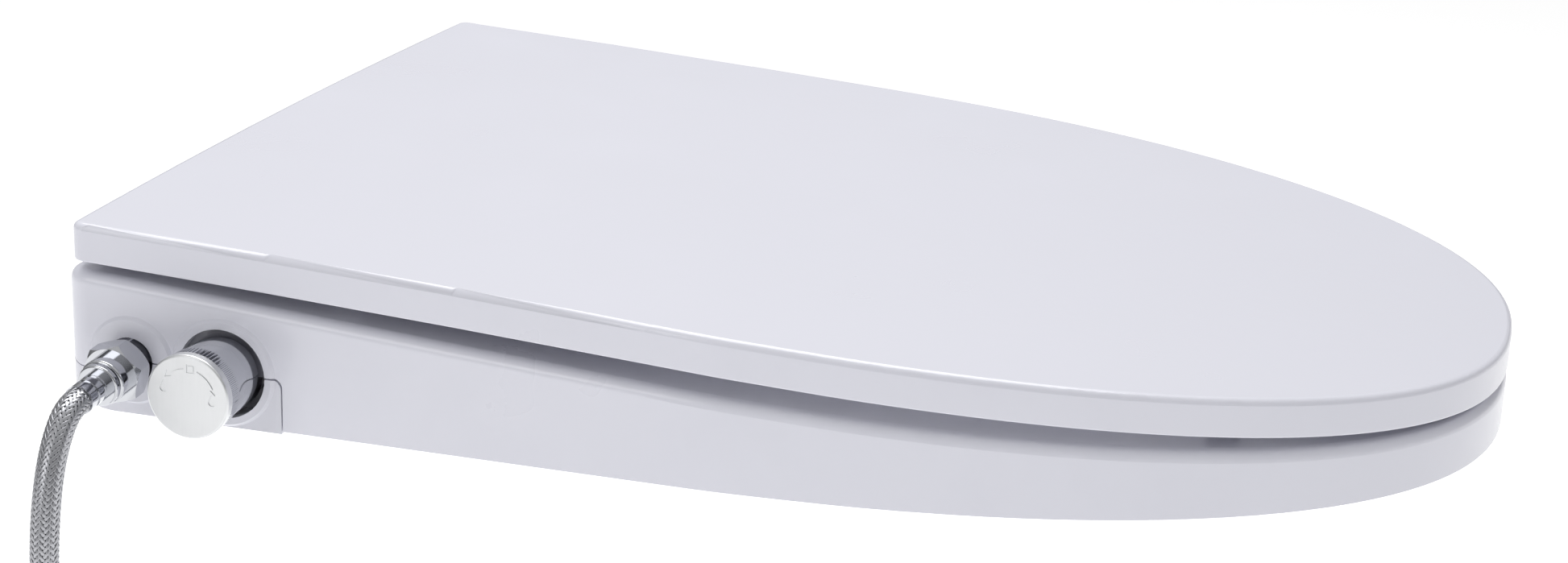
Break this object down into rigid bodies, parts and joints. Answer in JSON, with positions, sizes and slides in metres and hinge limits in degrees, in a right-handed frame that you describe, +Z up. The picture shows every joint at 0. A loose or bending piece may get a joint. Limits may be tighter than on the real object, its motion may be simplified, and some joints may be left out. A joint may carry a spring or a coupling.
{
  "type": "bidet seat",
  "caption": "Slim water-powered bidet toilet seat with hinged lid and ring, side control knob, retracting nozzles and a braided supply hose.",
  "frame": {"origin": "midway between the two fixing bolts, on the plane of the bowl's rim", "axes": "+Z up, front of the seat towards -Y, knob and hose on the -X side"},
  "size_m": [0.4549, 0.5269, 0.4452],
  "materials": {
    "lid_white": "smooth glossy white",
    "seat_white": "smooth glossy white",
    "housing_white": "smooth white",
    "inner_white": "moulded",
    "inner_grey": "moulded",
    "button_grey": "satin",
    "nozzle_white": "smooth",
    "nozzle_grey": "smooth",
    "chrome": "polished",
    "satin_disc": "satin, engraved",
    "brass": "machined",
    "steel": "plain",
    "braid": "woven wire",
    "rubber": "soft, light grey",
    "tube": "translucent silicone"
  },
  "bodies": {
    "base": {"housing_base": "housing_white", "housing_cover": "housing_white", "housing_screws": "steel", "foot_pads": "rubber", "mounting_plate": "inner_white", "fixing_bolts": "steel", "slide_washers": "steel", "latch_spring": "steel", "hinge_pins": "steel", "lid_damper": "inner_grey", "seat_damper": "inner_grey", "inlet_union": "chrome", "inlet_filter": "steel", "inlet_washer": "rubber", "check_valve": "inner_grey", "hose_nut": "chrome", "hose_tail": "chrome", "crimp_ferrule": "chrome", "braided_hose": "braid", "supply_ferrule": "chrome", "supply_tail": "chrome", "supply_nut": "chrome", "supply_washer": "rubber", "valve_body": "inner_white", "valve_nut": "brass", "nozzle_holder": "inner_white", "rear_nozzle_spring": "steel", "front_nozzle_spring": "steel", "gate_pin": "steel", "rear_wash_tube": "tube", "front_wash_tube": "tube", "supply_tube": "tube", "tube_clip": "inner_white"},
    "seat": {"seat_ring": "seat_white", "seat_underplate": "inner_white", "seat_screws": "steel", "seat_bumpers": "rubber"},
    "lid": {"lid_panel": "lid_white", "lid_bumpers": "rubber"},
    "knob_turner": {"knob": "chrome", "knob_cap": "satin_disc", "knob_screw": "steel", "valve_spindle": "brass"},
    "rear_wash": {"rear_nozzle": "nozzle_white", "rear_nozzle_tip": "nozzle_grey"},
    "front_wash": {"front_nozzle": "nozzle_white", "front_nozzle_tip": "nozzle_grey"},
    "gate": {"guard_gate": "housing_white"},
    "button": {"release_button": "button_grey", "latch_bar": "inner_white"}
  },
  "joints": [
    {"name": "seat_hinge", "type": "hinge", "parent": "base", "child": "seat", "pos_m": [0, 0.0495, 0.0295], "axis": [-1, 0, 0], "range_deg": [0, 95]},
    {"name": "lid_hinge", "type": "hinge", "parent": "seat", "child": "lid", "pos_m": [0, 0.0495, 0.0295], "axis": [1, 0, 0], "range_deg": [-100, 0]},
    {"name": "knob_turn", "type": "hinge", "parent": "base", "child": "knob_turner", "pos_m": [-0.2, -0.007, 0.0215], "axis": [1, 0, 0], "range_deg": [-90, 90]},
    {"name": "rear_nozzle_slide", "type": "slide", "parent": "base", "child": "rear_wash", "axis": [0, -0.9703, -0.2419], "range_m": [0, 0.055], "stiffness_N_per_m": 20, "springref_m": -0.02, "deforming": ["rear_nozzle_spring"]},
    {"name": "front_nozzle_slide", "type": "slide", "parent": "base", "child": "front_wash", "axis": [0, -0.9703, -0.2419], "range_m": [0, 0.055], "stiffness_N_per_m": 20, "springref_m": -0.02, "deforming": ["front_nozzle_spring"]},
    {"name": "gate_hinge", "type": "hinge", "parent": "base", "child": "gate", "pos_m": [0, -0.077, 0.025], "axis": [-1, 0, 0], "range_deg": [0, 75]},
    {"name": "button_press", "type": "slide", "parent": "base", "child": "button", "axis": [-1, 0, 0], "range_m": [0, 0.004], "stiffness_N_per_m": 300, "springref_m": -0.004, "deforming": ["latch_spring"]}
  ]
}
